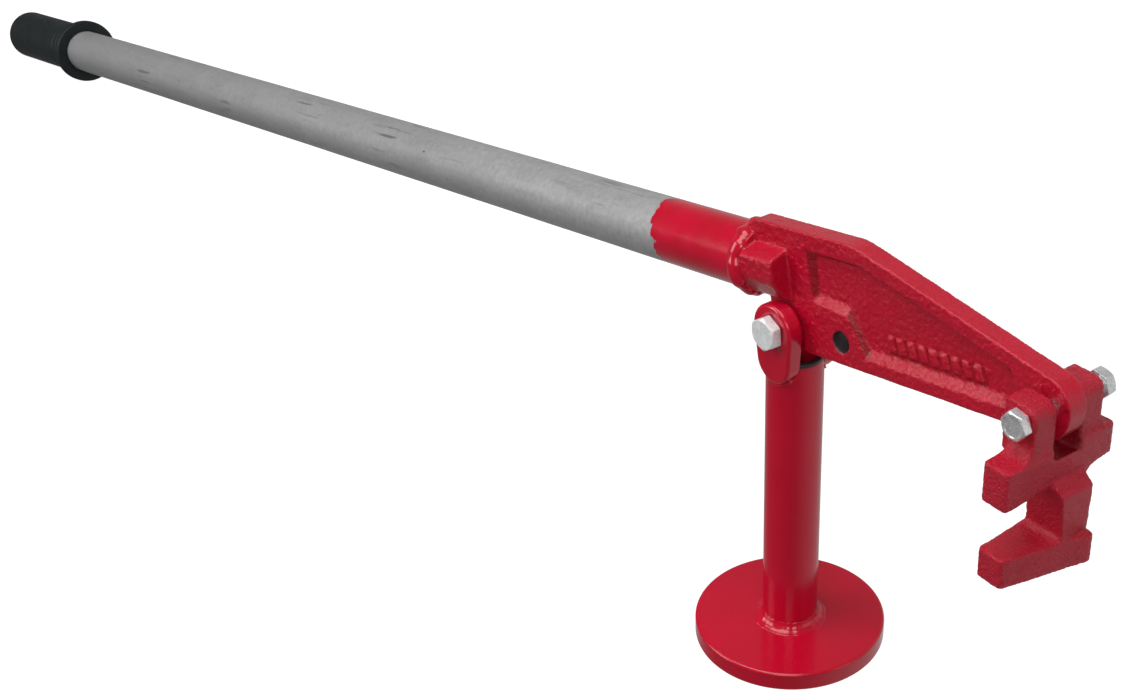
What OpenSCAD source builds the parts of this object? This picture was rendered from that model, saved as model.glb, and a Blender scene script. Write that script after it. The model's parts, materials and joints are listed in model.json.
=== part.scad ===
// Stake puller: a long lever on a round-footed stand, with a swinging jaw at its nose.
// Origin: centre of the foot's underside. +X towards the jaw, +Z up, millimetres.
// The lever is drawn in its own frame, with its origin on the pivot bolt, and is
// laid down at the tilt at which the end of the grip rests on the ground.

/* [Stand] */
// Diameter of the round foot
base_d = 116; // [100:1:140]
// Thickness of the round foot
base_t = 12; // [8:0.5:16]
// Outside diameter of the leg tube
leg_d = 33.4; // [30:0.1:38]
// Wall of the leg tube
leg_wall = 3.4; // [2.5:0.1:4.5]
// Height of the pivot bolt above the ground
pivot_z = 219.5; // [200:0.5:260]
// How far the top of the leg tube stops below the pivot bolt
leg_gap = 19.5; // [19:0.5:24]
// Thickness of each clevis ear
ear_t = 10.5; // [8:0.5:12]
// Clear width between the two clevis ears
ear_gap = 16; // [14.5:0.5:18]

/* [Lever] */
// Thickness of the lever casting at its rims
rim_t = 12.5; // [11:0.5:14]
// Thickness of the casting's web inside its side pockets
web_t = 5; // [4:0.5:7]
// Distance from the pivot bolt to the jaw bolt, along the lever
jaw_reach = 195.3; // [190:0.1:197]
// Height of the jaw bolt above the pivot bolt, square to the lever
jaw_rise = 3.1; // [1:0.1:5]
// Distance from the pivot bolt to the spare pivot hole
spare_pitch = 44.45; // [40:0.05:48]
// Outside diameter of the handle pipe
pipe_d = 38.4; // [36:0.1:42]
// Wall of the handle pipe
pipe_wall = 2.6; // [1.6:0.1:3.5]
// Distance from the pivot bolt to the closed end of the grip
grip_reach = 1216; // [1000:1:1400]
// Diameter of the grip's barrel
grip_d = 45.6; // [43:0.2:50]

/* [Jaw] */
// Clear width between the jaw's two lugs
lug_gap = 17.5; // [17:0.1:19]
// Width over the jaw's two lugs
lug_span = 48.6; // [44:0.2:52]
// How far the loose jaw hangs off the lever's middle plane, towards the head of its bolt
jaw_shift = 2.1; // [0:0.1:2.1]
// Depth of the jaw's upper bar, along X
bar_depth = 17.3; // [15:0.1:18]
// Height of the mouth between the upper and lower bars
mouth = 31.4; // [26:0.2:34]

/* [Bolts] */
// Diameter of the pivot bolt
pivot_bolt_d = 12; // [10:0.1:12.7]
// Width across the flats of the pivot bolt's head
pivot_flats = 18; // [16:0.1:19]
// Diameter of the jaw bolt
jaw_bolt_d = 9.5; // [8:0.1:10]
// Width across the flats of the jaw bolt's head
jaw_flats = 14.3; // [13:0.1:16]

/* [Hidden] */
$fn = 96;
run_fit = 0.08;          // radial clearance round a bolt that the lever turns on
seam = 0.3;              // how far one part of a casting runs into the next
red = [0.72, 0.05, 0.14];
zinc = [0.78, 0.78, 0.8];
galvanised = [0.6, 0.61, 0.62];
rubber = [0.08, 0.09, 0.09];

// Stand
leg_r = leg_d / 2;
leg_top = pivot_z - leg_gap;
base_edge = 1.2;
base_weld_leg = 5.5;
ear_r = 15.8;            // round top of an ear, about the pivot bolt
ear_foot = [1, -19.5];   // centre of an ear's round lower end, from the pivot bolt
ear_foot_r = 13.6;
ear_weld_w = 3;          // width of the bead round an ear's lower end
ear_weld_t = 1.6;
ear_in = ear_gap / 2;
ear_out = ear_in + ear_t;

// Lever
pipe_rise = 32.8;        // pipe's axis above the pivot bolt, square to the lever
pipe_start = -26;        // where the pipe butts on the casting's collar
pipe_end = 9 - grip_reach;
collar_len = 5.5;
spigot_len = 30;
spigot_fit = 0.05;
boss_face = 6.7;         // flat end of the boss, towards the nose
relief_fit = 1;          // room between the boss and the round tops of the ears
relief_y = 7.4;
handle_weld_r = 6;
grip_round = 5;
grip_r = grip_d / 2;
grip_floor = grip_reach + pipe_end - 0.1;
grip_contact = grip_reach - grip_round;
// Tilt at which the grip's end touches the ground
rest_tilt = asin(pivot_z / norm([grip_contact, pipe_rise - grip_r]))
          + atan2(pipe_rise - grip_r, grip_contact);

// Outlines of the casting: [along the lever, height above the pivot bolt, corner radius]
casting_outline = [[-19, 58.8, 5], [62, 58.8, 40], [208.2, 15.4, 14], [208.2, -16.7, 21.4], [180, -16.7, 10],
                   [166, -13.5, 15], [-13, -13.5, 12], [-13, 16, 2], [-26, 16, 1], [-26, 54, 2]];
pocket_mouth = [[62.8, -5.6, 3], [173.5, -5.6, 8], [173.5, 16.5, 7], [65.5, 48.5, 30], [22, 48.5, 3],
                [23.8, 19.1, 2.5], [51, 16.2, 3]];
pocket_floor = [[65.5, -0.2, 2], [165.2, -0.2, 5], [165.2, 15.9, 5], [63.2, 46.2, 25], [28.8, 46.2, 2],
                [27.9, 23.2, 2], [53, 21.2, 2]];
// Section of the boss beside the plate: [across, height above the pipe's axis, corner radius]
boss_section = [[-19.2, 9.6, 3], [0, 14.6, 3], [19.2, 9.6, 3], [19.2, -4, 8], [9, -17.5, 8], [-9, -17.5, 8],
                [-19.2, -4, 8]];

// Jaw: all its places are from the jaw bolt, at the jaw's own middle plane
jaw_place = [jaw_reach * cos(rest_tilt) - jaw_rise * sin(rest_tilt), -jaw_shift,
             pivot_z + jaw_reach * sin(rest_tilt) + jaw_rise * cos(rest_tilt)];
lug_in = lug_gap / 2;
lug_out = lug_span / 2;
lug_back = -11;
lug_front = 9.5;
lug_top = 10.1;
lug_foot_r = 8;
bar_back = -6.6;
bar_front = bar_back + bar_depth;
upper_top = -17.8;
upper_under = -37.8;     // underside of the upper bar, at its middle
under_slope = 0.06;      // rise of that underside towards the far end
upper_near = -41.6;
upper_far = 34.2;
lower_top = upper_under - mouth;
lower_under = lower_top - 17.3;
// Plan of the lower bar: [x, y, corner radius]
lower_plan = [[bar_back, -40.1, 2.5], [10, -40.1, 2.5], [22.5, 13.5, 2], [-10, 13.5, 2.5]];
nose_clear_r = 25.5;     // round floor of the slot between the lugs
web_front = 18.1;
web_near = [-9.3, -6.1]; // near face of the upright, at its top and at its foot
web_far = [13.9, 11.9];
shoulder = [6.3, 4.4];   // slope where the upright steps back to the upper bar: rise, run

// Bolts
pivot_head_t = 6.6;
pivot_nut_t = 10;
pivot_tail = 3;
jaw_head_t = 6;
jaw_nut_t = 6.4;
jaw_nut_gap = 4.8;       // the jaw's nut isn't run up against the lug
jaw_tail = 1.5;
tip_ease = 1.1;

// Points of the arc of radius r that rounds corner q, between its neighbours p and s
function unit(v) = v / norm(v);
function corner(p, q, s, r, n) =
    let (a = unit(p - q), b = unit(s - q), half = acos(a * b) / 2,
         c = q + unit(a + b) * r / sin(half),
         from = q + a * r / tan(half) - c, to = q + b * r / tan(half) - c,
         start = atan2(from.y, from.x), turn = (atan2(to.y, to.x) - start + 540) % 360 - 180)
    [for (i = [0:n]) c + r * [cos(start + turn * i / n), sin(start + turn * i / n)]];
function flat(p) = [p.x, p.y];
function rounded(pts, n = 6) = let (k = len(pts))
    [for (i = [0:k - 1]) each corner(flat(pts[(i + k - 1) % k]), flat(pts[i]), flat(pts[(i + 1) % k]),
                                     pts[i].z, n)];
function arc(c, r, from, to, n = 24) =
    [for (i = [0:n]) let (a = from + (to - from) * i / n) c + r * [cos(a), sin(a)]];

// Frames
module on_pivot() { translate([0, 0, pivot_z]) children(); }
module on_lever() { on_pivot() rotate([0, -rest_tilt, 0]) children(); }
module on_pipe() { on_lever() translate([0, 0, pipe_rise]) rotate([0, 90, 0]) children(); }
module on_jaw() { translate(jaw_place) children(); }

// A flat shape in X and Z, thickened along Y from y0 to y1
module plate(y0, y1) { translate([0, y1, 0]) rotate([90, 0, 0]) linear_extrude(y1 - y0) children(); }
// A flat shape in Y and Z, run along X from x0 to x1
module run(x0, x1) { translate([x0, 0, 0]) rotate([90, 0, 90]) linear_extrude(x1 - x0) children(); }
module cross_pin(r, y0, y1) { translate([0, y1, 0]) rotate([90, 0, 0]) cylinder(r = r, h = y1 - y0); }

// Solid whose outline changes evenly from `near` at y0 to `deep` at y1; both run anticlockwise
module tapered(near, deep, y0, y1) {
    k = len(near);
    polyhedron(concat([for (p = near) [p.x, y0, p.y]], [for (p = deep) [p.x, y1, p.y]]),
               concat([[for (i = [k - 1:-1:0]) i], [for (i = [0:k - 1]) k + i]],
                      [for (i = [0:k - 1]) let (j = (i + 1) % k) each [[i, j, k + j], [i, k + j, k + i]]]));
}

// Concave fillet along X, in the corner q between the faces that run off along a and b
module fillet(q, a, b, r, x0, x1) {
    run(x0, x1) polygon(concat([q - seam * unit(unit(a) + unit(b))], corner(q + a, q, q + b, r, 8)));
}

// Hexagon from z = 0 to h, its corners eased at the top
module hex_body(flats, h, turn) {
    intersection() {
        rotate([0, 0, turn]) cylinder(d = flats / cos(30), h = h, $fn = 6);
        rotate_extrude() polygon([[0, 0], [flats * 0.6, 0], [flats * 0.6, h - flats * 0.072],
                                  [flats * 0.475, h], [0, h]]);
    }
}

// Bolt along +Y, its head bearing at y = 0 and lying towards -Y
module bolt(d, flats, head_t, length, turn) {
    rotate([90, 0, 0]) hex_body(flats, head_t, turn);
    rotate([-90, 0, 0]) translate([0, 0, -seam]) rotate_extrude()
        polygon([[0, 0], [d / 2, 0], [d / 2, length + seam - tip_ease], [d / 2 - tip_ease, length + seam],
                 [0, length + seam]]);
}

module nut(d, flats, h, turn) {
    rotate([-90, 0, 0]) difference() {
        hex_body(flats, h, -turn);
        translate([0, 0, -1]) cylinder(d = d, h = h + 2);
    }
}

// ---- Stand ----

module base_plate() {
    r = base_d / 2;
    color(red) rotate_extrude()
        polygon([[0, 0], [r - base_edge, 0], [r, base_edge], [r, base_t - base_edge], [r - base_edge, base_t],
                 [0, base_t]]);
}

module base_weld() {
    r = base_weld_leg;
    color(red) translate([0, 0, base_t]) rotate_extrude()
        polygon(concat([[leg_r, 0]], arc([leg_r + r, r], r, 270, 180, 8)));
}

// Outline of an ear about the pivot bolt: a large arc and a small one, joined by tangents
module ear_outline(grow = 0) {
    down = atan2(ear_foot.y, ear_foot.x);
    side = acos((ear_r - ear_foot_r) / norm(ear_foot));
    polygon(concat(arc([0, 0], ear_r + grow, down + side, down + 360 - side, 36),
                   arc(ear_foot, ear_foot_r + grow, down - side, down + side, 28)));
}
module ear_blank(y0, y1, grow = 0) { on_pivot() plate(y0, y1) ear_outline(grow); }

module ear(y0, y1) {
    color(red) difference() {
        ear_blank(y0, y1);
        on_pivot() cross_pin(pivot_bolt_d / 2, y0 - 1, y1 + 1);
    }
}
module near_ear() { ear(-ear_out, -ear_in); }
module far_ear() { ear(ear_in, ear_out); }

module leg_tube() {
    color(red) difference() {
        translate([0, 0, base_t]) cylinder(r = leg_r, h = leg_top - base_t);
        translate([0, 0, base_t - 1]) cylinder(r = leg_r - leg_wall, h = leg_top - base_t + 2);
        ear_blank(-ear_out, -ear_in);
        ear_blank(ear_in, ear_out);
    }
}

// Bead on the tube's surface, round the part of an ear that is let into the tube
module ear_weld(y0, y1) {
    low = pivot_z + ear_foot.y - ear_foot_r - ear_weld_w - 1;
    color(red) difference() {
        intersection() {
            ear_blank(y0, y1, ear_weld_w);
            translate([0, 0, low]) cylinder(r = leg_r + ear_weld_t, h = leg_top - low);
        }
        translate([0, 0, low - 1]) cylinder(r = leg_r, h = leg_top - low + 2);
        ear_blank(y0 - 1, y1 + 1);
    }
}
module near_ear_weld() { ear_weld(-ear_out, -ear_in + 1); }
module far_ear_weld() { ear_weld(ear_in - 1, ear_out); }

module pivot_bolt() {
    color(zinc) translate([0, -ear_out, pivot_z])
        bolt(pivot_bolt_d, pivot_flats, pivot_head_t, 2 * ear_out + pivot_nut_t + pivot_tail, 34.2);
}
module pivot_nut() {
    color(zinc) translate([0, ear_out, pivot_z]) nut(pivot_bolt_d, pivot_flats, pivot_nut_t, 48);
}

// ---- Lever ----

// Round-shouldered boss beside the plate, cut back where it passes over the ears
module boss() {
    difference() {
        translate([0, 0, pipe_rise])
            run(pipe_start + collar_len, boss_face) polygon(rounded(boss_section, 4));
        cross_pin(ear_r + relief_fit, relief_y, ear_out + 2);
        cross_pin(ear_r + relief_fit, -ear_out - 2, -relief_y);
    }
}

// Collar that the pipe butts on, and the spigot inside the pipe
module pipe_seat() {
    translate([pipe_start, 0, pipe_rise]) rotate([0, 90, 0]) {
        cylinder(d = pipe_d, h = collar_len + seam);
        translate([0, 0, -spigot_len])
            cylinder(r = pipe_d / 2 - pipe_wall - spigot_fit, h = spigot_len + seam);
    }
}

module casting_plate() { plate(-rim_t / 2, rim_t / 2) polygon(rounded(casting_outline, 8)); }

module lever_casting() {
    half = rim_t / 2;
    color(red) on_lever() difference() {
        union() {
            casting_plate();
            boss();
            pipe_seat();
        }
        for (side = [0, 1]) mirror([0, side, 0])
            tapered(rounded(pocket_mouth), rounded(pocket_floor), -half - 0.01, -web_t / 2);
        cross_pin(pivot_bolt_d / 2 + run_fit, -rim_t, rim_t);
        translate([spare_pitch, 0, 0]) cross_pin(pivot_bolt_d / 2 + run_fit, -rim_t, rim_t);
        translate([jaw_reach, 0, jaw_rise]) cross_pin(jaw_bolt_d / 2 + run_fit, -rim_t, rim_t);
    }
}

module handle_weld() {
    r = handle_weld_r;
    color(red) difference() {
        on_pipe() translate([0, 0, pipe_start]) rotate_extrude()
            polygon(arc([pipe_d / 2 - r * cos(65), 0], r, 65, -65, 12));
        on_lever() casting_plate();
    }
}

module handle_pipe() {
    color(galvanised) on_pipe() difference() {
        translate([0, 0, pipe_end]) cylinder(d = pipe_d, h = pipe_start - pipe_end);
        translate([0, 0, pipe_end - 1]) cylinder(d = pipe_d - 2 * pipe_wall, h = pipe_start - pipe_end + 2);
    }
}

// Grip from its closed end: rounded end, barrel, two thin rings, flange
module handle_grip() {
    bore = pipe_d / 2 + 0.05;
    color(rubber) on_pipe() translate([0, 0, -grip_reach]) rotate_extrude()
        polygon(concat([[0, 0]], arc([grip_r - grip_round, grip_round], grip_round, -90, 0, 8),
                       [[grip_r, 123.6], [grip_r - 0.7, 124.2], [grip_r - 0.7, 125.8], [grip_r, 126.4],
                        [grip_r, 132.6], [grip_r - 0.7, 133.2], [grip_r - 0.7, 134.8], [grip_r, 135.4],
                        [grip_r, 147], [grip_r + 1.2, 150], [28.4, 152.4], [29, 153.4], [29, 158.2],
                        [28.2, 159], [bore, 159], [bore, grip_floor], [0, grip_floor]]));
}

// ---- Jaw ----

module lug(y0, y1) {
    plate(y0, y1) polygon(rounded([[lug_back, upper_top - 2, 1.5], [lug_front, upper_top - 2, 0.5],
                                   [lug_front, lug_top, 6.5], [lug_back, lug_top, 1.5]]));
}

function under(y) = upper_under + under_slope * y;

module upper_bar() {
    intersection() {
        translate([0, 0, under(upper_near) - 1]) linear_extrude(upper_top - under(upper_near) + 1)
            polygon(rounded([[bar_back, upper_near, 2.5], [bar_front, upper_near, 2.5],
                             [bar_front, upper_far, 2.5], [bar_back, upper_far, 2.5]]));
        run(bar_back - 1, bar_front + 1)
            polygon([[upper_near - 1, upper_top], [upper_near - 1, under(upper_near - 1)],
                     [upper_far + 1, under(upper_far + 1)], [upper_far + 1, upper_top]]);
    }
}

module lower_bar() {
    translate([0, 0, lower_under]) linear_extrude(lower_top - lower_under) polygon(rounded(lower_plan));
}

// Upright between the bars, narrower at its foot and stepped back by a slope at its top
module jaw_web() {
    top = upper_under + 1.8;
    foot = lower_top - seam;
    intersection() {
        plate(web_near[0] - 1, web_far[0] + 1)
            polygon([[bar_back, foot], [web_front, foot], [web_front, top - shoulder[0]], [bar_front, top],
                     [bar_back, top]]);
        run(bar_back - 1, web_front + 1)
            polygon([[web_near[1], foot], [web_far[1], foot], [web_far[0], top], [web_near[0], top]]);
    }
}

module jaw_fillets() {
    for (side = [0, 1]) mirror([0, side, 0])
        fillet([lug_out, upper_top], [0, 1], [1, 0], lug_foot_r, bar_back, lug_front);
    fillet([web_far[0], under(web_far[0])], [0, -1], [1, under_slope], 11, bar_back, bar_front);
    fillet([web_near[0], under(web_near[0])], [0, -1], [-1, -under_slope], 3, bar_back, bar_front);
    fillet([web_near[1], lower_top], [0, 1], [-1, 0], 5, bar_back, 16.9);
}

module jaw_casting() {
    color(red) on_jaw() difference() {
        union() {
            lug(-lug_out, -lug_in);
            lug(lug_in, lug_out);
            upper_bar();
            jaw_web();
            lower_bar();
            jaw_fillets();
        }
        cross_pin(nose_clear_r, -lug_in, lug_in);
        cross_pin(jaw_bolt_d / 2, -lug_span, lug_span);
    }
}

module jaw_bolt() {
    color(zinc) on_jaw() translate([0, -lug_out, 0])
        bolt(jaw_bolt_d, jaw_flats, jaw_head_t, lug_span + jaw_nut_gap + jaw_nut_t + jaw_tail, 52.6);
}
module jaw_nut() {
    color(zinc) on_jaw() translate([0, lug_out + jaw_nut_gap, 0]) nut(jaw_bolt_d, jaw_flats, jaw_nut_t, 50.7);
}

base_plate();
base_weld();
leg_tube();
near_ear();
far_ear();
near_ear_weld();
far_ear_weld();
pivot_bolt();
pivot_nut();
lever_casting();
handle_weld();
handle_pipe();
handle_grip();
jaw_casting();
jaw_bolt();
jaw_nut();
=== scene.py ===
"""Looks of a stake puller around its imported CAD: a red lever on a round-footed stand, with a hinged jaw.

Every piece is built in metres. The lever's casting is shaped in the lever's own frame (x along the lever from
the pivot bolt, z square to it), a turned piece in a frame whose z is its own axis, and the rest as it stands.
Each mesh is then moved into the part's own frame, so every object's own frame is the part's frame.
"""
import json
import math

import bmesh
import bpy
import numpy as np
from mathutils import Matrix, Vector, noise


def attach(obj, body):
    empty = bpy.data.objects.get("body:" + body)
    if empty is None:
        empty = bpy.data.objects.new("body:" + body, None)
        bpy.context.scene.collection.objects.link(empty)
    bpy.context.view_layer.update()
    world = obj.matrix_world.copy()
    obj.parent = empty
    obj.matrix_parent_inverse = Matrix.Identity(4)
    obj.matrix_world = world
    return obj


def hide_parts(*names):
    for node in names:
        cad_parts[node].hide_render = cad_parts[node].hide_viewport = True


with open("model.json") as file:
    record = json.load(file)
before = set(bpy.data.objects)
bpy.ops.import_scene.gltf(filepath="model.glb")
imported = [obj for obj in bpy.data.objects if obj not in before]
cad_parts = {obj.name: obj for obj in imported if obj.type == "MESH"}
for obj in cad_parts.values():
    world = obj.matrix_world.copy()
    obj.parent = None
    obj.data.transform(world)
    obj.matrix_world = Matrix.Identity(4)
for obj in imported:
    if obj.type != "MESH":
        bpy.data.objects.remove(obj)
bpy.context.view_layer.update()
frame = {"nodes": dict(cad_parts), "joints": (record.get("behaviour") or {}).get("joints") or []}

MM = 0.001
TAU = 2 * math.pi
JOINTS = {j["name"]: j for j in frame["joints"]}
PIVOT = Vector(JOINTS["lever_pivot"]["pos_m"])
JAW_PIVOT = Vector(JOINTS["jaw_swing"]["pos_m"])

# Driving dimensions, the CAD's own, in metres
JAW_REACH, JAW_RISE = 195.3 * MM, 3.1 * MM
PIPE_RISE = 32.8 * MM
PIPE_R, PIPE_WALL = 19.2 * MM, 2.6 * MM
PIPE_START, PIPE_END = -26 * MM, -1207 * MM
GRIP_END, GRIP_R, FLANGE_R = -1216 * MM, 22.8 * MM, 29 * MM
PAINT_END = -103 * MM          # where the red paint on the handle ends
LEG_R, LEG_WALL = 16.7 * MM, 3.4 * MM
FOOT_R, FOOT_T = 58 * MM, 12 * MM
LEG_TOP = 200 * MM
EAR_IN, EAR_OUT = 8 * MM, 18.5 * MM
EAR_R, EAR_FOOT_R = 15.8 * MM, 13.6 * MM
EAR_FOOT = (1 * MM, -19.5 * MM)
PIVOT_BOLT_R, PIVOT_FLATS = 6 * MM, 18 * MM
JAW_BOLT_R, JAW_FLATS = 4.75 * MM, 14.3 * MM
PIVOT_SIZE, JAW_SIZE = (PIVOT_BOLT_R, PIVOT_FLATS), (JAW_BOLT_R, JAW_FLATS)
JAW_SHIFT, LUG_OUT = 2.1 * MM, 24.3 * MM      # the jaw bolt's shift to -Y, and half the width over the lugs
JAW_NUT_GAP = 4.8 * MM                        # the nut isn't run up against the lug
SPARE_HOLE_X = 44.45 * MM                     # along the lever from the pivot

# The row of raised bars low in the casting's near pocket, in mm in the lever's frame
BARS_START, BARS_END, BARS_LOW, BARS_HIGH = 79, 152, 2.2, 11.5
BAR_PITCH, BAR_LEAN, BAR_HEIGHT = 8.0, 0.25, 1.4

tilt = math.atan2(JAW_PIVOT.z - PIVOT.z, JAW_PIVOT.x - PIVOT.x) - math.atan2(JAW_RISE, JAW_REACH)
LEVER = Matrix.Translation(PIVOT) @ Matrix.Rotation(-tilt, 4, "Y")
PIPE = LEVER @ Matrix.Translation((0, 0, PIPE_RISE)) @ Matrix.Rotation(TAU / 4, 4, "Y")
UPRIGHT = Matrix.Identity(4)


# ---------------------------------------------------------------- mesh tools

def add_object(name, mesh, place=UPRIGHT):
    """Adds a mesh drawn in the frame `place`, moved into the part's frame."""
    mesh.transform(place)
    obj = bpy.data.objects.new(name, mesh)
    bpy.context.scene.collection.objects.link(obj)
    return obj


def new_mesh(name, verts, faces):
    """A closed mesh, smooth shaded, its faces turned outwards."""
    mesh = bpy.data.meshes.new(name)
    mesh.from_pydata(verts, [], faces)
    bm = bmesh.new()
    bm.from_mesh(mesh)
    bmesh.ops.recalc_face_normals(bm, faces=bm.faces)
    bm.to_mesh(mesh)
    bm.free()
    mesh.shade_smooth()
    return mesh


def loft(name, loops, ring=False):
    """Faces between loops of equal length, or of one point at a pole. ring joins the last to the first."""
    verts, starts = [], []
    for loop in loops:
        starts.append(len(verts))
        verts.extend(loop)
    n = max(len(loop) for loop in loops)
    faces = []
    pairs = list(zip(range(len(loops)), range(1, len(loops))))
    if ring:
        pairs.append((len(loops) - 1, 0))
    for a, b in pairs:
        for i in range(n):
            j = (i + 1) % n
            if len(loops[a]) == 1:
                faces.append((starts[a], starts[b] + j, starts[b] + i))
            elif len(loops[b]) == 1:
                faces.append((starts[a] + i, starts[a] + j, starts[b]))
            else:
                faces.append((starts[a] + i, starts[a] + j, starts[b] + j, starts[b] + i))
    return new_mesh(name, verts, faces)


def lathe(name, profile, segments=128, shape=None, ring=False):
    """Turns a profile of (z, r) about z. shape(angle, z, r) may return another (z, r)."""
    loops = []
    for z, r in profile:
        if r == 0:
            loops.append([(0, 0, z)])
            continue
        loop = []
        for i in range(segments):
            a = TAU * i / segments
            zz, rr = shape(a, z, r) if shape else (z, r)
            loop.append((rr * math.cos(a), rr * math.sin(a), zz))
        loops.append(loop)
    return loft(name, loops, ring)


def arc(cz, cr, radius, start, end, steps=6):
    """Points (z, r) on a circle about (cz, cr), from start to end in degrees, where 0 is along +z."""
    turns = [math.radians(start + (end - start) * i / steps) for i in range(steps + 1)]
    return [(cz + radius * math.cos(t), cr + radius * math.sin(t)) for t in turns]


def line(a, b, steps):
    """Points from a towards b, b left out."""
    return [(a[0] + (b[0] - a[0]) * i / steps, a[1] + (b[1] - a[1]) * i / steps) for i in range(steps)]


def fbm(p):
    """Two octaves of noise at p."""
    return noise.fractal(p, 1.0, 2.0, 2, noise_basis="PERLIN_ORIGINAL")


def settle(obj, *kinds):
    """Applies modifiers, given as (type, {setting: value}), and gives obj the mesh that results."""
    for kind, settings in kinds:
        modifier = obj.modifiers.new(kind.lower(), kind)
        for key, value in settings.items():
            setattr(modifier, key, value)
    depsgraph = bpy.context.evaluated_depsgraph_get()
    mesh = bpy.data.meshes.new_from_object(obj.evaluated_get(depsgraph))
    obj.modifiers.clear()
    obj.data = mesh


def casting_from(node, name, place, voxel, rounds, skin):
    """A cast version of a CAD node's copy, remeshed in the frame `place`: edges eased, skin roughened."""
    mesh = frame["nodes"][node].data.copy()
    mesh.name = name
    mesh.transform(place.inverted())
    obj = add_object(name, mesh)
    settle(obj, ("REMESH", {"mode": "VOXEL", "voxel_size": voxel}),
           ("SMOOTH", {"factor": 0.5, "iterations": rounds}))
    displace(obj, skin)
    obj.data.transform(place)
    obj.data.shade_smooth()
    return obj


def displace(obj, height):
    """Moves each vertex along its normal by height(point, normal), in metres."""
    mesh = obj.data
    co = np.empty(len(mesh.vertices) * 3, np.float32)
    normals = np.empty_like(co)
    mesh.vertices.foreach_get("co", co)
    mesh.vertices.foreach_get("normal", normals)
    co, normals = co.reshape(-1, 3), normals.reshape(-1, 3)
    lift = np.array([height(p, n) for p, n in zip(co, normals)], np.float32)
    mesh.vertices.foreach_set("co", (co + normals * lift[:, None]).ravel())
    mesh.update()


def dress(obj, material, body, node):
    """Gives a piece its material, and lets it ride on its body in place of its CAD node."""
    obj.data.materials.clear()
    obj.data.materials.append(material)
    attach(obj, body)
    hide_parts(node)


def flat_normals(obj):
    """Keeps large flat faces flat where they meet rounded edges, and returns obj."""
    modifier = obj.modifiers.new("weighted", "WEIGHTED_NORMAL")
    modifier.keep_sharp = True
    return obj


# ---------------------------------------------------------------- materials

def set_ranges(n, *numbers):
    """Sets the four ends of a Map Range node."""
    for key, number in zip(("From Min", "From Max", "To Min", "To Max"), numbers):
        n.inputs[key].default_value = number


class Shader:
    """A material's node tree, built one node at a time. place holds the coordinates that textures use."""

    def __init__(self, name, **surface):
        self.material = bpy.data.materials.new(name)
        self.material.use_nodes = True
        self.tree = self.material.node_tree
        self.surface = next(n for n in self.tree.nodes if n.type == "BSDF_PRINCIPLED")
        for key, value in surface.items():
            self.surface.inputs[key.replace("_", " ")].default_value = value
        self.place = self.node("ShaderNodeTexCoord").outputs["Object"]

    def node(self, kind, settings=(), **inputs):
        n = self.tree.nodes.new(kind)
        for key, value in dict(settings).items():
            setattr(n, key, value)
        for key, value in inputs.items():
            self.feed(n, key.replace("_", " "), value)
        return n

    def feed(self, n, key, value):
        """Links or sets an input, named by its label or, where labels repeat, as i and its number."""
        socket = n.inputs[int(key[1:])] if key[0] == "i" and key[1:].isdigit() else n.inputs[key]
        if isinstance(value, bpy.types.NodeSocket):
            self.tree.links.new(value, socket)
        else:
            socket.default_value = value

    def math(self, operation, a, b=0.0):
        return self.node("ShaderNodeMath", {"operation": operation}, i0=a, i1=b).outputs[0]

    def times(self, a, b):
        return self.math("MULTIPLY", a, b)

    def plus(self, a, b):
        return self.math("ADD", a, b)

    def minus(self, a, b):
        return self.math("SUBTRACT", a, b)

    def most(self, a, b):
        return self.math("MAXIMUM", a, b)

    def away(self, a, b):
        """The length of the vector (a, b)."""
        return self.math("SQRT", self.plus(self.times(a, a), self.times(b, b)))

    def stretched(self, x, y, z):
        return self.node("ShaderNodeMapping", Vector=self.place, Scale=(x, y, z)).outputs[0]

    def noise(self, scale, detail=3.0, rough=0.55, vector=None):
        n = self.node("ShaderNodeTexNoise", Vector=vector or self.place, Scale=scale, Detail=detail,
                      Roughness=rough)
        return n.outputs["Fac"]

    def cells(self, scale, vector=None):
        """The distance to the nearest of scattered points."""
        return self.node("ShaderNodeTexVoronoi", Vector=vector or self.place, Scale=scale).outputs["Distance"]

    def steps(self, value, low, high, out_low=0.0, out_high=1.0):
        """Carries value from the range low..high to out_low..out_high, clamped. low may be above high."""
        n = self.node("ShaderNodeMapRange", {"clamp": True}, Value=value)
        set_ranges(n, low, high, out_low, out_high)
        return n.outputs["Result"]

    def mix(self, factor, a, b):
        n = self.node("ShaderNodeMix", {"data_type": "RGBA"})
        self.feed(n, "i0", factor)
        self.feed(n, "i6", a)
        self.feed(n, "i7", b)
        return n.outputs[2]

    def bump(self, height, strength, distance, normal=None):
        n = self.node("ShaderNodeBump", Height=height, Strength=strength, Distance=distance)
        if normal:
            self.feed(n, "Normal", normal)
        return n.outputs["Normal"]

    def shade(self, **inputs):
        """Feeds the surface, and returns the finished material."""
        for key, value in inputs.items():
            self.feed(self.surface, key.replace("_", " "), value)
        return self.material


RED = (0.62, 0.003, 0.031, 1)
DEEP_RED = (0.50, 0.002, 0.017, 1)
# painted shade: the dark red laid on where shade falls on the castings
SHADE_RED = (0.20, 0.001, 0.004, 1)
# bare metal in the chips, and near-black painted shade in the spare hole and on the leg's rim
BARE_AND_SHADE_DARK = (0.03, 0.02, 0.02, 1)
BASE_DARKENING = 0.14     # how much of the painted-shade colour is mixed in all over a casting, darkening its base colour


def in_frame(s, place):
    """The piece's coordinates in the frame `place`, as a socket."""
    inverse = place.inverted()
    return s.node("ShaderNodeMapping", Vector=s.place, Location=inverse.to_translation(),
                  Rotation=inverse.to_euler()).outputs[0]


def split(s, vector):
    """The x, y and z of a vector, as sockets."""
    return s.node("ShaderNodeSeparateXYZ", Vector=vector).outputs


def band(s, value, low, high, soft=0.6 * MM):
    """1 where value lies between low and high, eased over soft."""
    return s.times(s.steps(value, low - soft, low + soft), s.steps(value, high + soft, high - soft))


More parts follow.
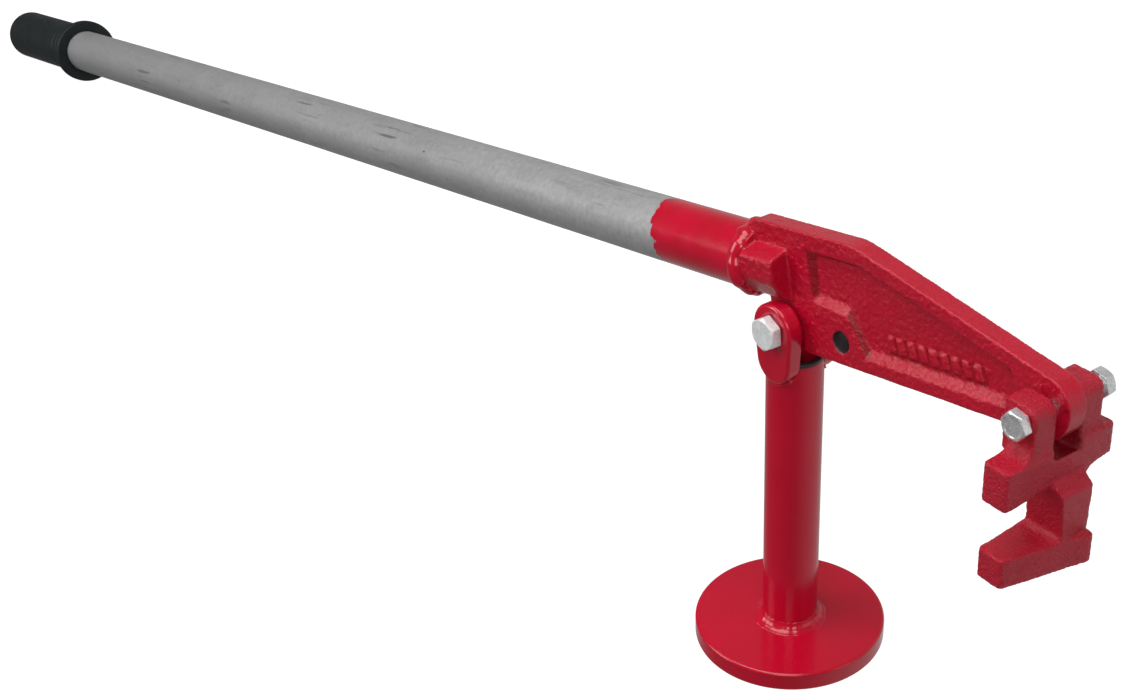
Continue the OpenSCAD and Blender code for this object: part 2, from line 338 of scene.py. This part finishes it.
def casting_masks(s):
    """Where the lever casting has painted shade, and where its spare hole is painted near-black as shade.

    Shade is painted on the walls of the side pockets (their back, the step round the boss of the spare hole,
    and the sloping roof), between the raised bars and in a line along their feet.
    """
    along, y, up = split(s, in_frame(s, LEVER))
    # painted shade on the pockets' walls: at their back, round the step and under the roof
    wall = band(s, s.math("ABSOLUTE", y), 2.9 * MM, 5.9 * MM, 0.4 * MM)
    back = s.times(band(s, along, 20.5 * MM, 29.5 * MM), band(s, up, 22 * MM, 49 * MM))
    step = s.times(band(s, along, 51.5 * MM, 66.5 * MM), band(s, up, -6 * MM, 20.5 * MM))
    fall = s.times(s.most(s.minus(along, 64.5 * MM), 0.0), 0.297)
    roof = s.times(band(s, s.plus(up, fall), 45.5 * MM, 49.5 * MM), band(s, along, 20.5 * MM, 174 * MM))
    painted_shade = s.times(wall, s.most(s.most(back, step), roof))
    # painted shade between the raised bars and in a line along their feet
    beat = s.math("MODULO", s.plus(along, s.times(up, BAR_LEAN)), BAR_PITCH * MM)
    gaps = s.most(s.steps(beat, 5.2 * MM, 5.8 * MM), s.steps(beat, 0.6 * MM, 0.2 * MM))
    length = band(s, along, BARS_START * MM, BARS_END * MM)
    row = s.times(length, band(s, up, BARS_LOW * MM, BARS_HIGH * MM))
    feet = s.times(length, band(s, up, 0.6 * MM, 2.6 * MM))
    near = s.steps(y, -1.2 * MM, -1.8 * MM)
    bars = s.times(near, s.most(s.times(row, gaps), feet))
    # all the painted shade, never less than the base darkening
    painted_shade = s.most(s.most(painted_shade, BASE_DARKENING), s.times(bars, 0.8))
    # the spare hole's bore and rim, painted near-black as shade
    reach = s.away(s.minus(along, SPARE_HOLE_X), up)
    return painted_shade, s.steps(reach, 6.8 * MM, 6.2 * MM)


def slot_masks(s):
    """Painted shade on the floor and the walls of the slot between the jaw's lugs. None is painted
    near-black.
    """
    x, y, z = split(s, s.place)
    up = s.minus(z, JAW_PIVOT.z)
    reach = s.away(s.minus(x, JAW_PIVOT.x), up)
    # painted shade inside the slot, on its floor and walls
    inside = s.times(s.steps(reach, 26.8 * MM, 25.8 * MM), s.steps(up, 6 * MM, -8 * MM))
    painted_shade = s.times(s.steps(s.math("ABSOLUTE", y), 9.2 * MM, 8.4 * MM), inside)
    return s.most(painted_shade, BASE_DARKENING), 0.0


def leg_masks(s):
    """The leg's upper rim, under the lever's casting, painted near-black as shadow. No dark red shade is
    painted.
    """
    up = split(s, s.place)[2]
    # painted shadow: the rim under the casting, near-black
    return 0.0, s.steps(up, LEG_TOP - 3 * MM, LEG_TOP - 1.5 * MM)


def red_paint(name, grain, grain_size, masks=None):
    """Gloss enamel. grain is the height of the skin under it, and grain_size its pitch.

    masks(shader) returns how far dark red shade is painted on, and how far near-black shade is painted on.
    """
    s = Shader(name, Specular_IOR_Level=0.45 if masks else 0.5, Coat_Weight=0.1 if masks else 0.2,
               Coat_Roughness=0.06)
    colour = s.mix(s.steps(s.noise(28, 4), 0.3, 0.75, 0.0, 0.6), RED, DEEP_RED)
    chips_and_shade = s.times(s.steps(s.cells(95.0), 0.06, 0.04), s.steps(s.noise(17, 2), 0.57, 0.60))
    if masks:
        painted_shade, deep_shade = masks(s)
        # painted shade: the dark red where the masks say shade falls
        colour = s.mix(s.times(painted_shade, 0.7), colour, SHADE_RED)
        # near-black painted shade joins the chips of bare metal
        chips_and_shade = s.most(chips_and_shade, deep_shade)
    colour = s.mix(chips_and_shade, colour, BARE_AND_SHADE_DARK)
    rough = s.plus(s.steps(s.noise(60, 3), 0.3, 0.7, 0.13, 0.24), s.times(chips_and_shade, 0.3))
    normal = s.bump(s.noise(1 / grain_size, 3, 0.5), 1.0, grain)
    normal = s.bump(s.noise(4 / grain_size, 2), 0.6, grain * 0.25, normal)
    normal = s.bump(chips_and_shade, 1.0, -0.08 * MM, normal)
    return s.shade(Base_Color=colour, Roughness=rough, Normal=normal)


def galvanised_and_paint():
    """Dull galvanised pipe along z, scuffed, with the red paint's ragged end at PAINT_END."""
    s = Shader("galvanised", Specular_IOR_Level=0.5)
    s.place = in_frame(s, PIPE)
    x, _, z = split(s, s.place)
    drawn = s.stretched(1, 1, 0.12)
    mottle = s.noise(260, 5, 0.7)
    colour = s.mix(s.steps(mottle, 0.3, 0.7), (0.33, 0.33, 0.34, 1), (0.52, 0.515, 0.52, 1))
    colour = s.mix(s.steps(s.noise(22, 3), 0.35, 0.7, 0.0, 0.35), colour, (0.27, 0.265, 0.255, 1))
    colour = s.mix(s.steps(s.noise(160, 4, 0.6, drawn), 0.4, 0.75, 0.0, 0.4), colour, (0.46, 0.465, 0.48, 1))
    scratch = s.times(s.steps(s.noise(10, 3), 0.5, 0.64),
                      s.steps(s.noise(420, 2, 0.5, s.stretched(1, 1, 0.05)), 0.60, 0.68))
    colour = s.mix(s.times(scratch, 0.75), colour, (0.10, 0.095, 0.09, 1))
    pit = s.times(s.steps(s.cells(60.0, s.stretched(1, 1, 0.35)), 0.05, 0.025),
                  s.steps(s.noise(23, 2), 0.57, 0.60))
    colour = s.mix(pit, colour, (0.07, 0.065, 0.06, 1))
    towards_grip = s.steps(z, -0.2, -1.15, 0.0, 0.45)
    colour = s.mix(towards_grip, colour, (0.24, 0.24, 0.25, 1))

    # The paint reaches further along the pipe's top, and its end is ragged
    lean = s.times(s.most(s.minus(s.times(x, -1.0), 9 * MM), 0.0), 0.7)
    ragged = s.plus(s.times(s.minus(s.noise(75, 2), 0.5), 18 * MM),
                    s.times(s.minus(s.noise(300, 3), 0.5), 4 * MM))
    painted = s.steps(s.plus(s.plus(z, lean), ragged), PAINT_END - 0.2 * MM, PAINT_END + 0.3 * MM)
    metal = s.minus(1.0, painted)
    paint = s.mix(s.steps(s.noise(28, 4), 0.35, 0.7), RED, DEEP_RED)
    rough = s.plus(s.times(metal, s.steps(mottle, 0.3, 0.7, 0.2, 0.34)),
                   s.steps(s.noise(60, 3), 0.3, 0.7, 0.16, 0.26))
    normal = s.bump(s.noise(900, 3, 0.6, drawn), 0.7, 0.04 * MM)
    normal = s.bump(mottle, 0.5, 0.08 * MM, normal)
    normal = s.bump(painted, 1.0, 0.15 * MM, normal)
    return s.shade(Base_Color=s.mix(painted, colour, paint), Metallic=s.times(metal, 0.25), Roughness=rough,
                   Normal=normal)


def zinc_plate(name, metallic):
    """Bright plating, mottled and lightly marked."""
    s = Shader(name, Metallic=metallic)
    colour = s.mix(s.steps(s.noise(160, 4), 0.35, 0.65), (0.76, 0.77, 0.79, 1), (0.97, 0.97, 0.96, 1))
    rough = s.steps(s.noise(500, 4, 0.6), 0.3, 0.7, 0.16, 0.36)
    normal = s.bump(s.noise(700, 3), 0.5, 0.03 * MM)
    return s.shade(Base_Color=colour, Roughness=rough, Normal=normal)


def black_rubber():
    """Dull rubber with a fine skin."""
    s = Shader("rubber", Specular_IOR_Level=0.35)
    colour = s.mix(s.steps(s.noise(90, 4), 0.35, 0.75), (0.006, 0.010, 0.011, 1), (0.012, 0.017, 0.019, 1))
    rough = s.steps(s.noise(150, 4), 0.3, 0.7, 0.46, 0.62)
    normal = s.bump(s.noise(1500, 3), 0.5, 0.05 * MM)
    return s.shade(Base_Color=colour, Roughness=rough, Normal=normal)


SMOOTH_RED = red_paint("smooth_red", 0.06 * MM, 3.5 * MM)
LEG_RED = red_paint("leg_red", 0.06 * MM, 3.5 * MM, leg_masks)
CAST_RED = red_paint("cast_red", 0.5 * MM, 1.4 * MM, casting_masks)
JAW_RED = red_paint("jaw_red", 1.2 * MM, 1.4 * MM, slot_masks)
BRIGHT_ZINC = zinc_plate("bright_zinc", 0.7)
DULL_ZINC = zinc_plate("dull_zinc", 0.1)
GALVANISED = galvanised_and_paint()
RUBBER = black_rubber()


# ---------------------------------------------------------------- stand

def foot():
    """The round foot, with eased edges."""
    edge = 1.6 * MM
    rings = [FOOT_R * i / 12 for i in range(12)]
    profile = ([(0, r) for r in rings]
               + arc(edge, FOOT_R - edge, edge, 180, 90) + arc(FOOT_T - edge, FOOT_R - edge, edge, 90, 0)
               + [(FOOT_T, r) for r in reversed(rings)])
    obj = add_object("foot", lathe("foot", profile, 192))
    dress(flat_normals(obj), SMOOTH_RED, "stand", "base_plate")


def foot_weld():
    """A lumpy fillet between the foot and the leg."""
    r = 5.5 * MM

    def lumps(a, z, radius):
        out = radius - LEG_R
        swell = 0.12 * math.sin(a * 23) + 0.5 * noise.noise((4 * math.cos(a), 4 * math.sin(a), 1.5))
        return FOOT_T + (z - FOOT_T) * (1 + 0.3 * swell), LEG_R + out * (1 + 0.25 * swell)

    profile = [(FOOT_T - MM, LEG_R - MM), (FOOT_T - MM, LEG_R + r)]
    profile += [(FOOT_T + r - z, LEG_R + r - d) for z, d in arc(0, 0, r, 0, 90, 10)]
    profile += [(FOOT_T + r, LEG_R - MM)]
    obj = add_object("foot_weld", lathe("foot_weld", profile, 160, lumps, ring=True))
    dress(obj, SMOOTH_RED, "stand", "base_weld")


def leg():
    """The upright tube, with eased edges at its top."""
    rim = 0.7 * MM
    bore = LEG_R - LEG_WALL
    profile = line((FOOT_T, LEG_R), (LEG_TOP - rim, LEG_R), 24)
    profile += arc(LEG_TOP - rim, LEG_R - rim, rim, 90, 0, 4) + arc(LEG_TOP - rim, bore + rim, rim, 0, -90, 4)
    profile += [(FOOT_T, bore)]
    obj = add_object("leg", lathe("leg", profile, 144, ring=True))
    dress(flat_normals(obj), LEG_RED, "stand", "leg_tube")


def ear_loop(inset, hole):
    """An ear's outline, moved in by inset, as (x, z) from the pivot, or the matching loop of its hole."""
    dx, dz = EAR_FOOT
    down = math.atan2(dz, dx)
    side = math.acos((EAR_R - EAR_FOOT_R) / math.hypot(dx, dz))
    count, top = 112, 67      # points in all, and round the upper arc
    points = []
    for i in range(top):
        a = down + side + (TAU - 2 * side) * i / (top - 1)
        points.append(((EAR_R - inset) * math.cos(a), (EAR_R - inset) * math.sin(a)))
    for i in range(count - top):
        a = down - side + 2 * side * (i + 0.5) / (count - top)
        points.append((dx + (EAR_FOOT_R - inset) * math.cos(a), dz + (EAR_FOOT_R - inset) * math.sin(a)))
    if not hole:
        return points
    return [(hole * math.cos(math.atan2(z, x)), hole * math.sin(math.atan2(z, x))) for x, z in points]


def ear(name, side, node):
    """A clevis ear with eased edges and its bolt hole, as one closed ring of loops from the hole outwards."""
    edge = 2.2 * MM
    eased = [(edge * (1 - math.sin(t)), edge * (1 - math.cos(t))) for t in (0, 0.4, 0.8, 1.2)]
    stations = [(EAR_IN, 0, PIVOT_BOLT_R), (EAR_IN, edge, 0)]
    stations += [(EAR_IN + rise, inset, 0) for rise, inset in reversed(eased)]
    stations += [(EAR_OUT - rise, inset, 0) for rise, inset in eased]
    stations += [(EAR_OUT, edge, 0), (EAR_OUT, 0, PIVOT_BOLT_R)]
    loops = [[(x, side * y, PIVOT.z + z) for x, z in ear_loop(inset, hole)] for y, inset, hole in stations]
    obj = add_object(name, loft(name, loops, ring=True))
    dress(flat_normals(obj), SMOOTH_RED, "stand", node)


def ear_weld(name, side, node):
    """A lumpy bead on the leg, along the part of the ear's outline that is let into it."""
    dx, dz = EAR_FOOT
    reach = math.radians(128)
    centre_r = EAR_FOOT_R + 0.2 * MM
    steps, sides = 72, 14
    loops = []
    for i in range(steps + 1):
        a = math.radians(-90) - reach / 2 + reach * i / steps
        swell = 1 + 0.12 * math.sin(a * 19) + 0.4 * noise.noise((a * 6, side * 2.0, 0.3))
        bead = 1.6 * MM * swell * min(1, 5 * min(i, steps - i) / steps + 0.15)
        x, z = dx + centre_r * math.cos(a), dz + centre_r * math.sin(a)
        y = math.sqrt(max(LEG_R ** 2 - x * x, 0)) - 0.2 * MM
        out = Vector((x, y, 0)).normalized()
        radial = Vector((math.cos(a), 0, math.sin(a)))
        loop = []
        for k in range(sides):
            t = TAU * k / sides
            p = Vector((x, y, z)) + radial * bead * math.cos(t) + out * bead * 0.8 * math.sin(t)
            loop.append((p.x, side * p.y, PIVOT.z + p.z))
        loops.append(loop)
    first, last = ([tuple(sum(map(Vector, loop), Vector()) / sides)] for loop in (loops[0], loops[-1]))
    obj = add_object(name, loft(name, [first] + loops + [last]))
    dress(obj, SMOOTH_RED, "stand", node)


# ---------------------------------------------------------------- bolts and nuts

SIDES = 180       # points round a bolt or a nut
ANGLES = [TAU * i / SIDES for i in range(SIDES)]


def level(radius, z):
    """A loop about z. radius and z are numbers, or lists with a number for each of ANGLES."""
    radii = radius if isinstance(radius, list) else [radius] * SIDES
    heights = z if isinstance(z, list) else [z] * SIDES
    return [(r * math.cos(a), r * math.sin(a), h) for a, r, h in zip(ANGLES, radii, heights)]


def hex_radius(a, flats, turn):
    """Radius of a hexagon with eased corners, at angle a."""
    t = (a - turn + TAU / 12) % (TAU / 6) - TAU / 12
    full = flats / 2 / math.cos(TAU / 12 - abs(t))
    limit = flats / math.sqrt(3) * 0.985
    return full if full < limit * 0.97 else min(full, limit + (full - limit) * 0.3)


def hex_loops(flats, low, high, turn, bore=0.0, dish=0.0):
    """Loops of a hexagon from low to high along z, chamfered at high, with a bore or a closed face there."""
    up = 1 if high > low else -1
    face_r = flats * 0.475
    slope = math.tan(math.radians(30))
    edge = 0.25 * MM
    lead = 0.6 * MM
    hexagon = [hex_radius(a, flats, turn) for a in ANGLES]
    chamfer = [high - up * max(0.0, (r - face_r) * slope) for r in hexagon]
    loops = [level([r - edge for r in hexagon], low), level(hexagon, low + up * edge),
             level(hexagon, [z - up * edge for z in chamfer]),
             level([r - edge * 0.7 for r in hexagon], [z + up * edge * 0.2 for z in chamfer]),
             level(face_r, high)]
    if dish:
        loops += [level(face_r * 0.86, high), level(face_r * 0.80, high - up * dish)]
    if bore:
        loops += [level(bore + lead, high), level(bore, high - up * lead), level(bore, low)]
    else:
        loops.append([(0, 0, high - up * dish)])
    return loops


def across(centre, y):
    """A frame whose z runs along +Y, at centre moved by y along it."""
    return Matrix.Translation(centre + Vector((0, y, 0))) @ Matrix.Rotation(-TAU / 4, 4, "X")


def bolt(name, material, body, node, place, size, head, length, pitch, thread, turn, dish=0.0):
    """Hexagon bolt: head towards -z, plain shank, and a helical thread over its last stretch.

    size is its radius and its width across flats, head the head's height, turn the head's angle about z, and
    dish the depth of the hollow in the head.
    """
    radius, flats = size
    washer = 0.35 * MM
    depth = 0.54 * pitch
    tip = 1.1 * MM

    def threaded(a, z):
        saw = abs(((z / pitch - a / TAU) % 1) * 2 - 1)
        run_in = min(1.0, max(0.0, (z - (length - thread)) / pitch))
        ease = max(0.0, z - (length - tip))
        return min(radius, radius - ease) - depth * saw * run_in if ease < tip else radius - tip

    loops = list(reversed(hex_loops(flats, -washer, -head, turn, dish=dish)))
    loops += [level(flats * 0.47, -washer), level(flats * 0.465, 0.0)]
    loops += [level(radius, 0.0), level(radius, length - thread)]
    steps = int(thread / pitch * 10)
    for i in range(1, steps):
        z = length - thread + thread * i / steps
        loops.append(level([threaded(a, z) for a in ANGLES], z))
    loops += [level(radius - tip - depth * 0.3, length), [(0, 0, length)]]
    obj = add_object(name, loft(name, loops), place)
    mark_sharp(obj, 28)
    dress(obj, material, body, node)


def nut(name, material, body, node, place, size, height, turn):
    """Hexagon nut with a plain bore, from z = 0 to its height."""
    bore, flats = size
    obj = add_object(name, loft(name, hex_loops(flats, 0, height, turn, bore), ring=True), place)
    mark_sharp(obj, 28)
    dress(obj, material, body, node)


def mark_sharp(obj, degrees):
    """Keeps edges sharper than this sharp, and the faces between them flat."""
    obj.data.set_sharp_from_angle(angle=math.radians(degrees))
    flat_normals(obj)


# ---------------------------------------------------------------- lever

def ramp(x, low, high):
    """0 at low and 1 at high, clamped."""
    return min(1.0, max(0.0, (x - low) / (high - low)))


def raised_bars(p, n):
    """Height in mm of a plain row of cast bars, at a point p with the normal n."""
    on_pocket_floor = n[1] <= -0.8 and p[1] >= -4 * MM
    if not on_pocket_floor:
        return 0.0
    along, up = p[0] / MM, p[2] / MM
    end = ramp(along, BARS_START, BARS_START + 1) * ramp(along, BARS_END, BARS_END - 1)
    row = ramp(up, BARS_LOW, BARS_LOW + 1) * ramp(up, BARS_HIGH, BARS_HIGH - 1)
    beat = (along + BAR_LEAN * up) % BAR_PITCH
    return BAR_HEIGHT * end * row * ramp(beat, 0.0, 1.0) * ramp(beat, 5.6, 4.6)


def lever_casting():
    """The lever's casting, roughest on its sides, with the raised bars."""

    def skin(p, n):
        q = Vector(p)
        side = abs(n[1])
        broad = 0.12 * fbm(q * 90)
        grain = 0.42 * fbm(q * 380)
        return (broad + grain * (0.08 + 0.92 * side ** 4) + raised_bars(p, n)) * MM

    obj = casting_from("lever_casting", "lever_casting_skin", LEVER, voxel=0.75 * MM, rounds=7, skin=skin)
    dress(obj, CAST_RED, "lever", "lever_casting")


def handle_weld():
    """A smooth, lumpy ridge round the joint, run out along the pipe at its top."""
    r = 5.4 * MM
    centre = PIPE_R - 2.4 * MM

    def lumps(a, z, radius):
        top = max(0.0, -math.cos(a)) ** 3
        ripple = 0.05 * math.sin(a * 15 + 1.3 * math.sin(3 * a))
        swell = 1 + ripple - 0.12 * top + 0.25 * noise.noise((3 * math.cos(a), 3 * math.sin(a), 0.7))
        dz, dr = z - PIPE_START, radius - centre
        sway = 1.4 * MM * noise.noise((2.5 * math.cos(a), 2.5 * math.sin(a), 5))
        return PIPE_START + dz * swell * (1 + 0.5 * top) - 2.5 * MM * top + sway, centre + dr * swell

    name = "handle_weld_bead"
    obj = add_object(name, lathe(name, arc(PIPE_START, centre, r, 0, 342, 19), 240, lumps, ring=True), PIPE)
    dress(obj, SMOOTH_RED, "lever", "handle_weld")


def handle_pipe():
    """The long pipe, very slightly dented."""
    bore = PIPE_R - PIPE_WALL

    def dents(a, z, radius):
        q = Vector((0.6 * math.cos(a), 0.6 * math.sin(a), z * 14))
        return z, radius + 0.10 * MM * noise.noise(q) if radius > bore else radius

    profile = line((PIPE_END, PIPE_R), (PIPE_START, PIPE_R), 240)
    profile += [(PIPE_START, PIPE_R), (PIPE_START, bore), (PIPE_END, bore)]
    obj = add_object("handle_pipe_skin", lathe("handle_pipe_skin", profile, 128, dents, ring=True), PIPE)
    mark_sharp(obj, 40)
    dress(obj, GALVANISED, "lever", "handle_pipe")


def handle_grip():
    """A rubber sleeve with a closed, rounded end, two shallow grooves and a flange."""
    bore = PIPE_R + 0.05 * MM
    r = GRIP_R
    end_round, flare = 5 * MM, 5 * MM
    low_lip, high_lip = 1.3 * MM, 1.8 * MM
    groove = ((0, 0), (0.5, 0.1), (0.8, 0.6), (1.6, 0.6), (1.9, 0.1), (2.3, 0))    # along and in, in mm

    def at(mm):
        return GRIP_END + mm * MM

    profile = [(GRIP_END, 0), (GRIP_END, 0.25 * r), (GRIP_END, 0.5 * r)]
    profile += arc(GRIP_END + end_round, r - end_round, end_round, 180, 90, 10)
    profile += line((at(8), r), (at(122), r), 30)
    for start in (123.5, 132.5):
        profile += [(at(start + along), r - deep * MM) for along, deep in groove]
    profile += [(at(146.5), r)]
    profile += arc(at(147), r + flare, flare, -90, -20, 8)
    profile += arc(at(153.6), FLANGE_R - low_lip, low_lip, 165, 90, 5)
    profile += arc(at(157.2), FLANGE_R - high_lip, high_lip, 90, 0, 6)
    profile += [(at(159), 24 * MM), (at(159), bore + 0.8 * MM), (at(158.2), bore), (at(9), bore), (at(9), 0)]
    obj = add_object("handle_grip_skin", lathe("handle_grip_skin", profile, 144), PIPE)
    dress(flat_normals(obj), RUBBER, "lever", "handle_grip")


# ---------------------------------------------------------------- jaw

def jaw_casting():
    """The jaw, its cast skin the same all over."""

    def skin(p, n):
        q = Vector(p)
        return (0.16 * fbm(q * 100) + 0.2 * fbm(q * 520)) * MM

    obj = casting_from("jaw_casting", "jaw_casting_skin", Matrix.Translation(JAW_PIVOT),
                       voxel=0.6 * MM, rounds=22, skin=skin)
    dress(obj, JAW_RED, "jaw", "jaw_casting")


# ---------------------------------------------------------------- studio

def camera():
    """A view from ahead of the jaw and to its near side, looking down on it."""
    data = bpy.data.cameras.new("camera")
    data.lens = 60.461
    data.sensor_width = 36
    data.shift_x = -0.13646
    data.clip_end = 50
    obj = bpy.data.objects.new("camera", data)
    bpy.context.scene.collection.objects.link(obj)
    heading, dip, roll = math.radians(141.079), math.radians(31.038), math.radians(-0.111)
    obj.matrix_world = (Matrix.Translation((0.68687, -0.60943, 0.75260))
                        @ Matrix.Rotation(heading - TAU / 4, 4, "Z") @ Matrix.Rotation(TAU / 4 - dip, 4, "X")
                        @ Matrix.Rotation(roll, 4, "Z"))
    bpy.context.scene.camera = obj


def area_light(name, location, size, power):
    """A white rectangular light, aimed at the middle of the stand."""
    aim = Vector((0, 0, 150 * MM)) - Vector(location)
    data = bpy.data.lights.new(name, "AREA")
    data.shape = "RECTANGLE"
    data.size, data.size_y = size
    data.energy = power
    obj = bpy.data.objects.new(name, data)
    bpy.context.scene.collection.objects.link(obj)
    obj.location = location
    obj.rotation_euler = aim.to_track_quat("-Z", "Y").to_euler()


def sky():
    """A studio with a bright backdrop across +Y and a dark room behind the camera."""
    world = bpy.data.worlds.new("studio")
    world.use_nodes = True
    tree = world.node_tree
    dot = tree.nodes.new("ShaderNodeVectorMath")
    dot.operation = "DOT_PRODUCT"
    tree.links.new(tree.nodes.new("ShaderNodeTexCoord").outputs["Generated"], dot.inputs[0])
    dot.inputs[1].default_value = (0.1, 0.88, -0.46)
    fade = tree.nodes.new("ShaderNodeMapRange")
    fade.interpolation_type = "SMOOTHSTEP"
    tree.links.new(dot.outputs["Value"], fade.inputs["Value"])
    set_ranges(fade, -0.25, 0.95, 0.12, 0.55)
    tree.nodes["Background"].inputs["Color"].default_value = (1, 1, 1, 1)
    tree.links.new(fade.outputs["Result"], tree.nodes["Background"].inputs["Strength"])
    bpy.context.scene.world = world


def studio():
    """A white floor and backdrop that neither mirror nor light the tool, the sky, and four soft lights."""
    half = 8
    corners = [(-half, -half, 0), (half, -half, 0), (half, half, 0), (-half, half, 0)]
    floor = add_object("floor", new_mesh("floor", corners, [(0, 1, 2, 3)]))
    s = Shader("floor", Roughness=0.9, Specular_IOR_Level=0.0,
               Emission_Color=(1, 1, 1, 1), Emission_Strength=0.95)
    speckle = s.mix(s.noise(3, 2), (0.22, 0.22, 0.22, 1), (0.24, 0.24, 0.24, 1))
    floor.data.materials.append(s.shade(Base_Color=speckle))
    wall = Shader("backdrop", Base_Color=(0, 0, 0, 1), Roughness=1.0, Specular_IOR_Level=0.0,
                  Emission_Color=(1, 1, 1, 1), Emission_Strength=1.0)
    inside, spread, steps = 7.0, 2.0, 12
    turns = [TAU / 4 * i / steps for i in range(steps + 1)]
    cove = [(inside * (1 - math.cos(t)), inside + spread * math.sin(t)) for t in turns]
    backdrop = add_object("backdrop", lathe("backdrop", cove, 64))
    backdrop.data.materials.append(wall.material)
    backdrop.visible_shadow = False
    for stage in (floor, backdrop):
        stage.visible_glossy = False
        stage.visible_diffuse = False
    sky()
    area_light("overhead", (-0.2, -0.6, 2.6), (2.4, 1.6), 43)
    area_light("left", (-1.6, -2.2, 1.2), (1.4, 1.8), 32)
    area_light("right", (2.4, 0.9, 1.0), (1.2, 1.6), 4)
    area_light("fill", (1.7, -1.6, 1.5), (1.2, 1.2), 17)
    view = bpy.context.scene.view_settings
    view.view_transform = "Standard"
    view.look = "None"


camera()
studio()
foot()
foot_weld()
leg()
for label, side in (("near", -1), ("far", 1)):
    ear(label + "_ear_plate", side, label + "_ear")
    ear_weld(label + "_ear_bead", side, label + "_ear_weld")
bolt("pivot_bolt_metal", DULL_ZINC, "stand", "pivot_bolt", across(PIVOT, -EAR_OUT), PIVOT_SIZE,
     head=6.6 * MM, length=50 * MM, pitch=1.75 * MM, thread=16 * MM, turn=math.radians(-34.2))
nut("pivot_nut_metal", DULL_ZINC, "stand", "pivot_nut", across(PIVOT, EAR_OUT), PIVOT_SIZE,
    height=10 * MM, turn=math.radians(-48))
lever_casting()
handle_weld()
handle_pipe()
handle_grip()
jaw_casting()
bolt("jaw_bolt_metal", BRIGHT_ZINC, "jaw", "jaw_bolt", across(JAW_PIVOT, -LUG_OUT - JAW_SHIFT), JAW_SIZE,
     head=6 * MM, length=61.3 * MM, pitch=1.5875 * MM, thread=18 * MM, turn=math.radians(-52.6),
     dish=0.35 * MM)
nut("jaw_nut_metal", BRIGHT_ZINC, "jaw", "jaw_nut", across(JAW_PIVOT, LUG_OUT - JAW_SHIFT + JAW_NUT_GAP),
    JAW_SIZE, height=6.4 * MM, turn=math.radians(-50.7))
